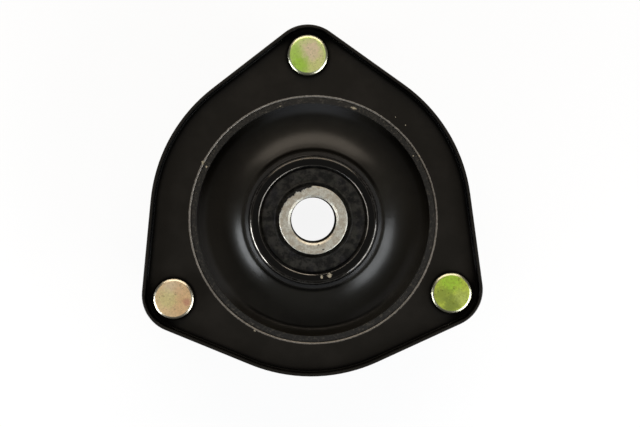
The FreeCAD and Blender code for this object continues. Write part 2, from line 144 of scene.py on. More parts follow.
class RubberSettings(PropertyGroup):
    """The moulded rubber between shell and sleeve."""

    rubber: colour("Rubber", "The rubber", 0.0106, 0.0102, 0.0088)
    # The rubber's own greenish bloom; no painted light.
    bloom_and_sheen: colour("Bloom", "Greenish bloom on the rubber", 0.0135, 0.0175, 0.012)
    bluish: colour("Bluish patches", "Bluish patches on the rubber", 0.0125, 0.0122, 0.0165)
    dust: colour("Dust", "Specks of dust on the rubber", 0.07, 0.07, 0.065)
    film: colour("Film", "Torn film on the sleeve's face", 0.004, 0.0038, 0.0034)
    roughness: share("Roughness", "Roughness of the rubber", 0.63)
    pores: length("Pores", "Depth of the pores in the rubber", 0.03)
    skin: length("Skin", "Depth of the dimples in the rubber's skin", 0.08)
    sleeve_groove: length("Sleeve groove", "Width of the groove round the sleeve", 1.3)
    ring: length("Ring width", "Width of the moulded ring beside that groove", 0.5)
    ring_height: length("Ring height", "Height of the moulded ring", 0.25)
    lip_groove: length("Lip groove", "Width of the groove inside the shell's lip", 0.9)
    lip: length("Lip", "How far the shell's lip is turned in over the rubber", 2.5)
    lip_sheet: length("Lip sheet", "Thickness of the shell's lip", 1.2)
    groove_depth: length("Groove depth", "Depth of the moulded grooves", 0.8)
    collar: length("Collar", "Rubber's back end inside the shell's inner face", 3.9)
    edge: length("Edge", "Rounding of the rubber's back end", 1.0)
    unevenness: length("Unevenness", "How far the moulded face waves up and down", 0.09)
    flash: length("Flash", "Thickness of the rubber film left on the sleeve's face", 0.14)
    flash_reach: length("Flash reach", "How far the film reaches in over the sleeve's face", 1.15)
    overhang: length("Overhang", "How far the film hangs out over the sleeve's edge", 0.12)


class SteelSettings(PropertyGroup):
    """The turned sleeve."""

    face: colour("Steel", "The turned steel", 0.66, 0.655, 0.585)
    stain: colour("Stain", "Brownish film on the steel", 0.46, 0.4, 0.31)
    crumbs: colour("Crumbs", "Fine dirt on the steel", 0.25, 0.235, 0.2)
    pit: colour("Pit", "Dark pit in the steel", 0.02, 0.018, 0.015)
    # Painted shade: the bore's wall gets this dull dark colour for the shade inside the bore.
    bore: colour("Bore", "Dull wall of the bore", 0.1, 0.092, 0.076)
    roughness: share("Roughness", "Roughness of the turned faces", 0.5)
    feed: length("Turning feed", "Distance from one turning mark to the next", 0.35)
    marks: length("Marks", "Depth of the turning marks", 0.004)
    grain: length("Grain", "Depth of the steel's grain", 0.04)
    bore_radius: length("Bore radius", "Radius of the bore", 8.5)
    chamfer: length("Chamfer", "Width of the bore's chamfer", 0.8)
    chamfer_fall: share("Chamfer fall", "Slope taken off the chamfer on its near side", 0.44)


class StudSettings(PropertyGroup):
    """The pressed-in studs."""

    rose: colour("Rose tint", "Pinkish zinc", 0.9, 0.74, 0.52)
    tan: colour("Tan tint", "Straw zinc", 0.92, 0.68, 0.38)
    amber: colour("Amber tint", "Orange zinc", 0.88, 0.56, 0.29)
    straw: colour("Straw tint", "Yellow-green straw zinc", 0.82, 0.8, 0.34)
    green: colour("Green tint", "Pale green zinc", 0.7, 0.88, 0.28)
    vivid: colour("Vivid tint", "Strong green zinc", 0.42, 0.74, 0.055)
    olive: colour("Olive tint", "Yellow-green zinc", 0.62, 0.74, 0.095)
    pale: colour("Pale tint", "Greyish green zinc", 0.64, 0.74, 0.24)
    dull: colour("Dull tint", "Grey-green zinc", 0.24, 0.31, 0.06)
    rust: colour("Rust tint", "Reddish stain", 0.66, 0.28, 0.2)
    polished: colour("Polished tint", "Rim polished by the press", 0.46, 0.435, 0.35)
    roughness: share("Roughness", "Roughness of the zinc", 0.31)
    dents: length("Dents", "Depth of the dents in the zinc", 0.06)
    grain: length("Grain", "Depth of the zinc's grain", 0.02)
    unevenness: length("Unevenness", "How far the head's top waves up and down", 0.02)
    dome_start: length("Dome start", "Radius where the head's top turns down, unrounded", 6.65)
    dome_radius: length("Dome", "Radius of the gentle turn from the head's top", 2.0)
    dome_fall: share("Fall", "Slope of the head's outer part", 0.74)
    head_edge: length("Head rounding", "Rounding of the head's edge", 0.3)
    knurl: length("Knurl diameter", "Diameter over the knurl", 9.2)
    knurl_depth: length("Knurl depth", "Depth of a groove of the knurl", 0.3)
    grooves: IntProperty(name="Grooves", description="Grooves round the knurl", default=20, min=3)
    grip: length("Grip", "Thickness of the two plates", 4.0)
    thread: length("Thread", "Outside diameter of the thread", 8.0)
    pitch: length("Pitch", "Pitch of the thread", 1.25)
    neck: length("Neck", "From the plates to the start of the thread", 1.2)
    tip: length("Tip chamfer", "Chamfer at the end of the thread", 1.0)
    thread_depth: share("Thread depth", "Depth of the thread over its pitch", 0.61)
    crest: share("Crest", "Flat crest of the thread over its pitch", 0.16)
    flank: share("Flank", "Both flanks of the thread over its pitch", 0.6)


class StageSettings(PropertyGroup):
    """Floor, lamps and camera."""

    floor: colour("Floor", "The floor", 0.95, 0.95, 0.95)
    floor_glow: share("Floor glow", "How white the camera and reflections see the floor", 0.9)
    cool: colour("Cool lamps", "Two front lamps", 0.93, 0.965, 1.0)
    warm: colour("Warm lamp", "Lamp behind", 1.0, 0.87, 0.72)
    sky: colour("Sky", "Light from straight above", 0.15, 0.145, 0.136)
    horizon: colour("Horizon", "Light from near the floor", 0.06, 0.06, 0.06)
    camera_spot: spot("Camera spot", "Where the camera stands over the plate", -3.17, 5.06)
    camera_height: length("Camera height", "Camera above the plate's front face", 480.0)
    aim: spot("Aim", "Where the camera looks at the plate's front face", 2.59, 2.33)
    roll: FloatProperty(
        name="Roll", description="Turn of the camera", default=math.radians(1.15), subtype="ANGLE"
    )
    view_width: length("View width", "Width of the picture at the front face", 240.0)


class Nodes:
    """A node tree, with short ways to add what a world or a finish needs."""

    def __init__(self, tree):
        self.tree = tree
        tree.nodes.clear()

    def node(self, kind, inputs=None, **fields):
        """Adds a node, sets its fields and fills its sockets with links or plain values."""
        made = self.tree.nodes.new(kind)
        for key, value in fields.items():
            setattr(made, key, value)
        for key, value in (inputs or {}).items():
            if isinstance(value, NodeSocket):
                self.tree.links.new(value, made.inputs[key])
            else:
                made.inputs[key].default_value = value
        return made

    def calc(self, operation, *numbers):
        """The result of the same step along several numbers, or of a step on one and 0."""
        total = numbers[0]
        for number in numbers[1:] or (0.0,):
            made = self.node("ShaderNodeMath", {0: total, 1: number}, operation=operation)
            total = made.outputs[0]
        return total

    def times(self, *numbers):
        """The product of several numbers."""
        return self.calc("MULTIPLY", *numbers)

    def plus(self, *numbers):
        """The sum of several numbers."""
        return self.calc("ADD", *numbers)

    def either(self, *masks):
        """The largest of several masks."""
        return self.calc("MAXIMUM", *masks)

    def fade(self, value, low, high):
        """0 where the value is under low and 1 over high, eased between; low may be the larger."""
        made = self.node(
            "ShaderNodeMapRange",
            {"Value": value, "From Min": low, "From Max": high},
            interpolation_type="SMOOTHSTEP",
        )
        return made.outputs["Result"]

    def mix(self, amount, first, second):
        """One colour fading into another."""
        first, second = (c if isinstance(c, NodeSocket) else (*c, 1.0) for c in (first, second))
        made = self.node("ShaderNodeMix", {0: amount, 6: first, 7: second}, data_type="RGBA")
        return made.outputs[2]

    def blend(self, amount, first, second):
        """One number fading into another."""
        made = self.node("ShaderNodeMix", {0: amount, 2: first, 3: second}, data_type="FLOAT")
        return made.outputs[0]


class Finish(Nodes):
    """A material laid out on the Object coordinates."""

    def __init__(self, name):
        self.material = bpy.data.materials.new(name)
        self.material.use_nodes = True
        super().__init__(self.material.node_tree)
        self.place = self.node("ShaderNodeTexCoord").outputs["Object"]

    def moved(self, centre):
        """The place measured from a centre in metres."""
        inputs = {"Vector": self.place, "Location": [-c for c in centre]}
        return self.node("ShaderNodeMapping", inputs).outputs["Vector"]

    def vector(self, operation, first, second=(0, 0, 0)):
        """The result of a step on one or two vectors: a number for a length or a dot product."""
        made = self.node("ShaderNodeVectorMath", {0: first, 1: second}, operation=operation)
        return made.outputs["Value" if operation in ("LENGTH", "DOT_PRODUCT") else "Vector"]

    def outward(self):
        """A level vector of length 1 that points away from the bush axis."""
        return self.vector("NORMALIZE", self.vector("MULTIPLY", self.place, (1, 1, 0)))

    def axis_distance(self, centre=(0, 0, 0)):
        """Distance from an upright line through the centre."""
        return self.vector("LENGTH", self.vector("MULTIPLY", self.moved(centre), (1, 1, 0)))

    def level(self, low, high):
        """0 under one height and 1 over the other, eased between; low may be the larger."""
        height = self.node("ShaderNodeSeparateXYZ", {"Vector": self.place}).outputs["Z"]
        return self.fade(height, low, high)

    def noise(self, grain, detail, rough, centre=(0, 0, 0)):
        """Cloudy noise with features about one grain in metres across."""
        inputs = {"Scale": 1 / grain, "Detail": detail, "Roughness": rough}
        inputs["Vector"] = self.moved(centre)
        return self.node("ShaderNodeTexNoise", inputs).outputs["Fac"]

    def cloud(self, low, high, grain, detail, rough, centre=(0, 0, 0)):
        """Patches of noise: 0 where it is under low and 1 over high."""
        return self.fade(self.noise(grain, detail, rough, centre), low, high)

    def vary(self, value, noise, spread):
        """A number that noise moves up and down, by half the spread each way."""
        return self.plus(value, self.times(self.calc("SUBTRACT", noise, 0.5), spread))

    def specks(self, spacing, size, centre=(0, 0, 0)):
        """1 in small round specks, in about one cell of the given spacing out of eight."""
        made = self.node(
            "ShaderNodeTexVoronoi",
            {"Vector": self.moved(centre), "Scale": 1 / spacing, "Randomness": 1.0},
        )
        chance = self.node("ShaderNodeSeparateColor", {"Color": made.outputs["Color"]}).outputs[0]
        near = self.fade(made.outputs["Distance"], size / spacing, size / spacing * 0.5)
        return self.times(near, self.fade(chance, 0.86, 0.88))

    def ring(self, inner, outer, soft, distance=None):
        """1 between two distances from the bush axis, fading over soft at both sides."""
        distance = distance or self.axis_distance()
        rise = self.fade(distance, inner - soft, inner + soft)
        return self.times(rise, self.fade(distance, outer + soft, outer - soft))

    def arcs(self, *arcs):
        """The largest of several arcs. Each has the azimuths in degrees where it starts and ends,
        going anticlockwise, the degrees over which it eases in, and its strength."""
        masks = []
        for start, end, soft, strength in arcs:
            middle, half = math.radians((start + end) / 2), math.radians((end - start) / 2)
            toward = (math.cos(middle), math.sin(middle), 0)
            along = self.vector("DOT_PRODUCT", self.outward(), toward)
            outside = math.cos(half + math.radians(soft))
            masks.append(self.times(self.fade(along, outside, math.cos(half)), strength))
        return self.either(*masks)

    def chips(self, edge, *chips):
        """1 in ragged chips near an edge's radius in metres. Each has its way out from the edge in
        millimetres, its azimuth in degrees, its length along the edge and its width in
        millimetres, and a seed; noise eats into its outline."""
        masks = []
        for way_out, azimuth, long, wide, seed in chips:
            turn = math.radians(azimuth)
            out = Vector((math.cos(turn), math.sin(turn), 0))
            onward = Vector((-math.sin(turn), math.cos(turn), 0))
            moved = self.moved(out * (edge + way_out * MM))
            along = self.vector("DOT_PRODUCT", moved, onward / (long * MM))
            across = self.vector("DOT_PRODUCT", moved, out / (wide * MM))
            reach = self.plus(self.times(along, along), self.times(across, across))
            ragged = self.noise(wide * MM * 0.8, 5.0, 0.7, (seed * 0.013, 0, 0))
            masks.append(self.fade(self.vary(reach, ragged, 1.5), 0.3, 0.16))
        return self.either(*masks)

    def corner(self, reach):
        """Painted shade: 1 in a corner that the light hardly gets into, as seen over a reach in
        metres, and less in its depth."""
        made = self.node("ShaderNodeAmbientOcclusion", {"Distance": reach}, samples=12)
        open_sky = made.outputs["AO"]
        depth = self.fade(open_sky, 0.54, 0.36)
        return self.times(self.fade(open_sky, 0.83, 0.58), self.blend(depth, 1.0, 0.15))

    def bump(self, height, depth, under=None):
        """A normal tilted by a height, which is counted in units of a depth in metres."""
        inputs = {"Height": height, "Distance": depth}
        if under is not None:
            inputs["Normal"] = under
        return self.node("ShaderNodeBump", inputs).outputs["Normal"]

    def tint(self, base, over, mask, strength):
        """A colour with some of another over it where the mask says."""
        return self.mix(self.times(mask, strength), base, over)

    def cover(self, mask, look, over):
        """One look fading into another where the mask says. A look is a base colour, a metalness
        and a roughness; None in the one on top keeps what is under it."""
        parts = zip((self.mix, self.blend, self.blend), look, over)
        return [under if top is None else join(mask, under, top) for join, under, top in parts]

    def surface(self, **sockets):
        """Ends the tree in a Principled shader and hands back the material."""
        values = {key.replace("_", " "): value for key, value in sockets.items()}
        shader = self.node("ShaderNodeBsdfPrincipled", values)
        self.node("ShaderNodeOutputMaterial", {"Surface": shader.outputs["BSDF"]})
        return self.material


def scaled(tint, factor):
    """A colour times a number."""
    return tuple(factor * part for part in tint)


def coat_finish(name, settings, colours, masks, seed, roughness, gloss):
    """Black dip coat: cloudy dark colour, faint orange peel and dust, painted shade in the
    corners,
    and where the masks say so: more painted shade, a greyish painted sheen, a dusty band, worn
    bare steel that is in part a painted glint and shade, a painted glint of steel colour, and
    chips."""
    finish = Finish(name)
    shift = (seed * 0.1, seed * 0.07, 0)
    mask = {kind: make(finish, settings) for kind, make in masks.items()}
    cloud = finish.cloud(0.42, 0.68, 14 * MM, 4.0, 0.6, shift)
    specks = finish.specks(3.4 * MM, 0.15 * MM, shift)
    base = finish.tint(finish.mix(cloud, *colours), settings.dust, specks, 0.3)
    rough = finish.vary(roughness, finish.noise(2.2 * MM, 3.0, 0.6, shift), 0.1)
    normal = finish.bump(finish.noise(0.9 * MM, 2.0, 0.5, shift), settings.peel)
    normal = finish.bump(finish.noise(9 * MM, 2.0, 0.5, shift), settings.waves, normal)
    # Painted shade: the coat turns black and unreflective in corners where shade falls, and where
    # the shade mask says.
    shade = finish.corner(settings.corner)
    if "shade" in mask:
        shade = finish.either(shade, mask["shade"])
    look = [finish.mix(shade, base, settings.black), shade, rough]
    # Painted sheen: a paler grey coat, without metal shine, where the sheen mask says.
    if "bloom_and_sheen" in mask:
        look = finish.cover(mask["bloom_and_sheen"], look, (settings.bloom_and_sheen, 0.0, None))
    if "band" in mask:
        crumbs = finish.cloud(0.5, 0.72, 0.9 * MM, 5.0, 0.7, shift)
        dusty = finish.mix(crumbs, settings.grime, settings.dust)
        look = finish.cover(mask["band"], look, (dusty, 0.0, 0.6))
        pits = finish.times(finish.noise(0.6 * MM, 3.0, 0.6, shift), mask["band"])
        normal = finish.bump(pits, settings.pits, normal)
    # Bare steel on worn edges; its masks also paint a glint on the shell's lip and shade on the
    # plate's edge.
    if "bare" in mask:
        grime = finish.cloud(0.35, 0.7, 0.7 * MM, 4.0, 0.65, shift)
        steel = finish.tint(settings.sheared, settings.dust, grime, 0.55)
        look = finish.cover(mask["bare"], look, (steel, 0.8, 0.45))
    # Painted highlight: steel colour, with metal shine, where the glint mask says.
    if "painted_glint" in mask:
        look = finish.cover(mask["painted_glint"], look, (settings.sheared, None, None))
        look[1] = finish.either(look[1], finish.fade(mask["painted_glint"], 0.02, 0.12))
    if "crown" in mask:
        normal = finish.bump(mask["crown"], 1.0, normal)
    if "chips" in mask:
        dirt = finish.noise(0.5 * MM, 3.0, 0.6, shift)
        chipped = finish.mix(dirt, settings.chip, settings.dust)
        look = finish.cover(mask["chips"], look, (chipped, 0.0, 0.7))
    base, metal, rough = look
    return finish.surface(
        Base_Color=base, Metallic=metal, Roughness=rough, Normal=normal, Specular_IOR_Level=gloss
    )


def worn_edge(finish, inner, width, level, grain, seed):
    """Bare steel from a radius outwards, above a level, frayed by noise."""
    fray = finish.noise(grain, 4.0, 0.6, (seed, 0, 0))
    frayed = finish.plus(finish.axis_distance(), finish.times(fray, width * 0.7))
    ring = finish.ring(inner, inner + width * 1.2, width * 0.12, frayed)
    return finish.times(ring, finish.level(level - 0.1 * MM, level))


def plate_bare_and_shade(finish, settings):
    """The worn edge of bare steel round the plate's opening, with painted shade that makes it
    thinner and duller on the side away from the back lamp."""
    edge = worn_edge(finish, settings.opening, 0.8 * MM, -0.5 * MM, 1.1 * MM, 2.0)
    # Painted shade: the bare edge is weaker on the side away from the back lamp.
    away = finish.arcs((212, 318, 12, 1.0))
    return finish.times(edge, finish.blend(away, 0.95, 0.6))


def plate_chips(finish, settings):
    """Small chips on the plate, beside the opening, and two specks above it."""
    return finish.chips(
        settings.opening,
        (0.45, 151.3, 1.7, 1.3, 3),
        (0.4, 30.0, 0.8, 0.5, 4),
        (1.0, 241.0, 0.8, 0.6, 5),
        (3.4, 50.2, 0.35, 0.3, 6),
        (3.6, 44.6, 0.45, 0.35, 7),
    )


def painted_lip_shade(finish, settings):
    """Painted shade on the inner side of the plate's lip, where the surface faces the bush."""
    normal = finish.node("ShaderNodeTexCoord").outputs["Normal"]
    inside = finish.fade(finish.vector("DOT_PRODUCT", normal, finish.outward()), -0.12, -0.5)
    start, end = settings.opening + 1 * MM, settings.opening + 2 * MM
    return finish.times(inside, finish.fade(finish.axis_distance(), start, end), 0.9)


def dish_band(finish, settings):
    """The sheared end of the dish's rim."""
    inner, outer = settings.opening - settings.rim_sheet - 0.1 * MM, settings.opening + 0.2 * MM
    ring = finish.ring(inner, outer, 0.12 * MM)
    return finish.times(ring, finish.level(-0.75 * MM, -0.5 * MM))


def dish_shade(finish, settings):
    """Painted shade on the dark curve between the dish's floor and rim on the near side, and on
    the dark step under the neck's end, away from the two side lamps."""
    bend = settings.opening - 5.7 * MM
    curve = finish.ring(bend, bend + 1.2 * MM, 0.35 * MM)
    step = finish.ring(settings.neck + 1.8 * MM, settings.neck + 3.5 * MM, 0.6 * MM)
    return finish.either(
        finish.times(curve, finish.arcs((238, 302, 12, 0.6))),
        finish.times(step, finish.arcs((34, 128, 18, 0.55), (228, 286, 14, 0.55))),
    )


def dish_painted_sheen(finish, settings):
    """Painted sheen: a paler greyish coat, as a painted reflection of the lamps, in the corner
    between the dish's floor and rim on three sides, and on the neck's end."""
    corner = settings.opening - 5.4 * MM
    outer = finish.ring(corner, corner + 4 * MM, 1.1 * MM)
    inner = finish.ring(corner - 2.4 * MM, corner, 1.1 * MM)
    neck = finish.ring(settings.neck, settings.neck + 1.5 * MM, 0.2 * MM)
    return finish.either(
        finish.times(outer, finish.arcs((78, 104, 16, 0.85), (172, 212, 16, 0.4675))),
        finish.times(inner, finish.arcs((298, 334, 16, 0.4))),
        finish.times(neck, 0.6),
    )


def dish_chips(finish, settings):
    """Rust-brown dust and pale chips on the dish's rim."""
    return finish.chips(
        settings.opening,
        (-1.3, 152.4, 0.8, 0.8, 8),
        (-1.4, 69.0, 2.2, 0.7, 9),
        (-1.6, 105.0, 0.5, 0.35, 10),
        (-1.4, 31.5, 0.6, 0.5, 11),
    )


def neck_crown(finish, settings):
    """Height in metres that slopes the neck's end outwards: the way out from the shell times the
    slope."""
    out = finish.calc("SUBTRACT", finish.axis_distance(), settings.neck)
    held = finish.calc("MINIMUM", finish.calc("MAXIMUM", out, 0.0), settings.neck_end)
    return finish.times(held, -settings.neck_fall, finish.level(7.2 * MM, 7.7 * MM))


def shell_bare_and_glint(finish, settings):
    """The bare steel edge of the shell's lip, partly a painted highlight: strong only in arcs
    where the lamps glint, on two sides and in one warm patch below.
    """
    edge = worn_edge(finish, settings.mouth, 0.32 * MM, 8.9 * MM, 0.9 * MM, 5.0)
    # Painted highlight: the bare edge shows fully only in the arcs where the lamps glint.
    rubbed_and_lit = finish.arcs((-12, 38, 12, 1.0), (112, 172, 14, 1.0), (243, 262, 12, 1.0))
    return finish.times(edge, finish.blend(rubbed_and_lit, 0.08, 0.93))


def shell_painted_glint(finish, settings):
    """A painted highlight on the shell's outer shoulder: steel colour and shine, strongest where
    the left lamp glints, weaker where the right one does, and faint all round.
    """
    shoulder = settings.mouth + settings.shoulder
    ring = finish.ring(shoulder, shoulder + 1 * MM, 0.2 * MM)
    frayed = finish.cloud(0.25, 0.6, 1.4 * MM, 4.0, 0.6, (0.4, 0, 0))
    # Painted highlight: arcs where the front lamps glint on the shoulder.
    worn = finish.arcs((180, 230, 16, 1.0), (302, 350, 16, 0.25))
    return finish.times(ring, frayed, finish.blend(worn, 0.12, 0.46))


def shell_chips(finish, settings):
    """Two pale chips on the shell's lip."""
    return finish.chips(settings.mouth, (1.25, 277.3, 0.75, 1.4, 12), (1.15, 285.4, 1.9, 1.5, 13))


def rubber_finish(name, settings, tint):
    """Matt moulded rubber: dark and mottled, with faint greenish and bluish patches, fine pores
    and a little dust."""
    finish = Finish(name)
    mottle = finish.cloud(0.41, 0.61, 2.9 * MM, 7.0, 0.72, (0.1, 0, 0))
    base = finish.mix(mottle, scaled(tint, 0.05), scaled(tint, 2.1))
    bloom_and_sheen = finish.cloud(0.52, 0.75, 4.5 * MM, 4.0, 0.62)
    base = finish.tint(base, settings.bloom_and_sheen, bloom_and_sheen, 0.5)
    cool = finish.cloud(0.5, 0.75, 6 * MM, 3.0, 0.6, (0.3, 0, 0))
    base = finish.tint(base, settings.bluish, cool, 0.5)
    base = finish.tint(base, settings.dust, finish.specks(1.7 * MM, 0.13 * MM), 0.4)
    pores = finish.noise(0.5 * MM, 3.0, 0.6)
    skin = finish.noise(2.6 * MM, 3.0, 0.55)
    return finish.surface(
        Base_Color=base,
        Roughness=finish.vary(settings.roughness, skin, 0.22),
        Normal=finish.bump(skin, settings.skin, finish.bump(pores, settings.pores)),
        Specular_IOR_Level=0.22,
    )


def turned_finish(name, settings):
    """Turned steel: rings of fine marks about the axis, a thinly laid brownish film, two dark
    pits, painted shade in the bore, whose wall is dull and dark, and a painted highlight on the
    chamfer's near side, which is made fully metallic."""
    finish = Finish(name)
    bore, rim = settings.bore_radius, settings.bore_radius + settings.chamfer
    distance = finish.axis_distance()
    film = finish.cloud(0.44, 0.58, 1.9 * MM, 6.0, 0.7)
    base = finish.tint(settings.face, settings.stain, film, 0.72)
    crumbs = finish.cloud(0.48, 0.66, 0.5 * MM, 4.0, 0.7)
    base = finish.tint(base, settings.crumbs, crumbs, 0.5)
    # Painted shade: the bore's wall is dull and dark.
    inside = finish.fade(distance, bore + 0.16 * MM, bore + 0.08 * MM)
    wall = finish.times(inside, finish.level(9.3 * MM, 8.9 * MM))
    pits = finish.chips(bore, (0.86, 280.3, 0.8, 0.5, 21), (2.92, 287.4, 0.95, 0.5, 22))
    base = finish.mix(pits, finish.mix(wall, base, settings.bore), settings.pit)
    wobble = finish.times(finish.noise(1.1 * MM, 3.0, 0.6), settings.feed * 0.8)
    marks = finish.calc("SINE", finish.times(finish.plus(distance, wobble), TURN / settings.feed))
    grain = finish.noise(0.22 * MM, 4.0, 0.7)
    normal = finish.bump(marks, settings.marks, finish.bump(grain, settings.grain))
    # Painted highlight: the chamfer's near side, where the back lamp glints, is made fully
    # metallic and tilted.
    near = finish.arcs((238, 306, 18, 1.0))
    inward = finish.calc("MAXIMUM", finish.calc("SUBTRACT", rim, distance), 0.0)
    normal = finish.bump(finish.times(inward, settings.chamfer_fall, near), 1.0, normal)
    down = finish.fade(distance, rim, bore)
    bright = finish.times(finish.fade(down, 0.0, 0.15), near)
    return finish.surface(
        Base_Color=base,
        Metallic=finish.blend(finish.either(pits, wall), finish.blend(bright, 0.6, 1.0), 0.0),
        Roughness=finish.vary(settings.roughness, grain, 0.24),
        Normal=normal,
        Specular_IOR_Level=0.0,
    )


def stud_box(node):
    """A stud's axis in x and y, the radius of its head, and its lowest and highest z."""
    low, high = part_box(node)
    return (low.x + high.x) / 2, (low.y + high.y) / 2, (high.x - low.x) / 2, low.z, high.z


def zinc_finish(name, settings, node, ground, mottling, *patches):
    """Yellow zinc: a metal plate with a ground tint and soft patches of other tints, each given
    as a place and size in head radii, broken by noise, with grains and small stains as strong
    as the mottling, a straw shank and a polished rim."""
    finish = Finish(name)
    x, y, head = stud_box(node)[:3]
    base = tint = getattr(settings, ground)
    broken = finish.noise(2.1 * MM, 5.0, 0.68, (x, y, 0))
    for right, up, size, patch, strength in patches:
        distance = finish.axis_distance((x + right * head, y + up * head, 0))
        reach = finish.calc("DIVIDE", distance, head * size)
        inside = finish.fade(finish.vary(reach, broken, 1.6), 1.25, 0.35)
        base = finish.tint(base, getattr(settings, patch), inside, strength)
    grains = finish.cloud(0.35, 0.7, 0.8 * MM, 4.0, 0.7, (x, y, 0))
    base = finish.tint(base, scaled(tint, 0.5), grains, mottling)
    stains = finish.cloud(0.57, 0.7, 1.2 * MM, 4.0, 0.7, (x + 0.3, 0, 0))
    base = finish.tint(base, scaled(tint, 0.3), stains, 1.6 * mottling)
    base = finish.tint(base, settings.straw, finish.level(-0.5 * MM, -1.5 * MM), 0.9)
    rim = finish.fade(finish.axis_distance((x, y, 0)), head - 1.0 * MM, head - 0.6 * MM)
    grain = finish.noise(0.5 * MM, 4.0, 0.65, (x, y, 0))
    dents = finish.noise(2.4 * MM, 2.0, 0.5, (x, y, 0))
    return finish.surface(
        Base_Color=finish.tint(base, settings.polished, rim, 0.9),
        Metallic=finish.blend(rim, 0.42, 1.0),
        Roughness=finish.vary(settings.roughness, grain, 0.22),
        Normal=finish.bump(dents, settings.dents, finish.bump(grain, settings.grain)),
        Coat_Weight=0.6,
        Coat_Roughness=0.22,
    )


def around(points):
    """Angles evenly round a circle, in a column."""
    return np.linspace(0, TURN, points, endpoint=False)[:, None]


def ripple(x, y, size, seed):
    """A smooth random field from about -1 to 1: the mean of ten waves of random direction,
    phase and length, each about size long."""
    rng = np.random.default_rng(seed)
    angle, phase = rng.uniform(0, TURN, (2, 10))
    stretch = rng.uniform(0.6, 1.7, 10) * size
    along = np.multiply.outer(x, np.cos(angle)) + np.multiply.outer(y, np.sin(angle))
    return 2 * np.sin(along / stretch * TURN + phase).mean(-1)


def section(corners, step, closed=True):
    """Points along a section of straight edges, one to two steps apart on a long edge.

    Each corner is (radius, height) or (radius, height, rounding); a rounding is an arc that
    touches both edges. Returns an array of (radius, height)."""
    points = [np.array(corner[:2], float) for corner in corners]
    count = len(points)
    joints = []
    for k, corner in enumerate(corners):
        if len(corner) < 3:
            joints.append(points[k][None])
            continue
        rounding = corner[2]
        back, on = points[k - 1] - points[k], points[(k + 1) % count] - points[k]
        back, on = back / np.linalg.norm(back), on / np.linalg.norm(on)
        half = math.acos(np.clip(back @ on, -1, 1)) / 2
        middle = points[k] + (back + on) / np.linalg.norm(back + on) * rounding / math.sin(half)
        spokes = [points[k] + leg * rounding / math.tan(half) - middle for leg in (back, on)]
        low, high = (math.atan2(spoke[1], spoke[0]) for spoke in spokes)
        sweep = math.remainder(high - low, TURN)
        turn = low + sweep * np.linspace(0, 1, max(5, int(abs(sweep) * rounding / step) + 2))
        joints.append(middle + rounding * np.stack([np.cos(turn), np.sin(turn)], -1))
    runs = []
    for k in range(count if closed else count - 1):
        start, end = joints[k][-1], joints[(k + 1) % count][0]
        pieces = max(1, int(np.linalg.norm(end - start) / step))
        runs += [joints[k], start + (end - start) * np.linspace(0, 1, pieces + 1)[1:-1, None]]
    if not closed:
        runs.append(joints[-1])
    return np.concatenate(runs)


def stud_grid(settings, node, seed):
    """A stud as radius over angle and section: r(a, s) = section radius, less the knurl's V
    grooves, less the thread's depth times a trapezoid of (z / pitch - a / turn); the head's top
    also waves up and down by a smooth random field."""
    x, y, head, end, top = stud_box(node)
    shank, knurl, seat = settings.thread / 2, settings.knurl / 2, -settings.grip
    step, rows = 0.11 * MM, 240
    outline = section(
        [
            (0, top),
            (settings.dome_start, top, settings.dome_radius),
            (head, top - (head - settings.dome_start) * settings.dome_fall, settings.head_edge),
            (head, 0),
            (knurl, 0),
            (knurl, seat),
            (shank, seat),
            (shank, end + settings.tip),
            (shank - settings.tip, end),
            (0, end),
        ],
        step,
        closed=False,
    )
    radius, height = outline.T
    angle = around(rows)
    groove = np.abs((angle * settings.grooves / TURN) % 1 - 0.5)
    width = settings.knurl_depth / (TURN * knurl / settings.grooves)
    cut = settings.knurl_depth * np.clip(1 - groove / width, 0, 1)
    between = (height < -0.2 * MM) & (height > seat + 0.05 * MM)
    r = radius - cut * (between & (np.abs(radius - knurl) < SAME))
    run_out = np.clip((seat - settings.neck - height) / settings.pitch, 0, 1)
    wave = np.abs((height / settings.pitch - angle / TURN) % 1 - 0.5) * 2
    root = np.clip((wave - settings.crest) / settings.flank, 0, 1) * settings.thread_depth
    thread = shank - settings.pitch * root * run_out
    r = np.where((height < seat) & (radius > SAME), np.minimum(r, thread), r)
    r = np.maximum(r, 0.0)
    px, py = x + r * np.cos(angle), y + r * np.sin(angle)
    swell = (height > top - 1.4 * MM) * (1 - radius / head) * ripple(px, py, 5 * MM, seed)
    return np.stack([px, py, height + swell * settings.unevenness], -1)


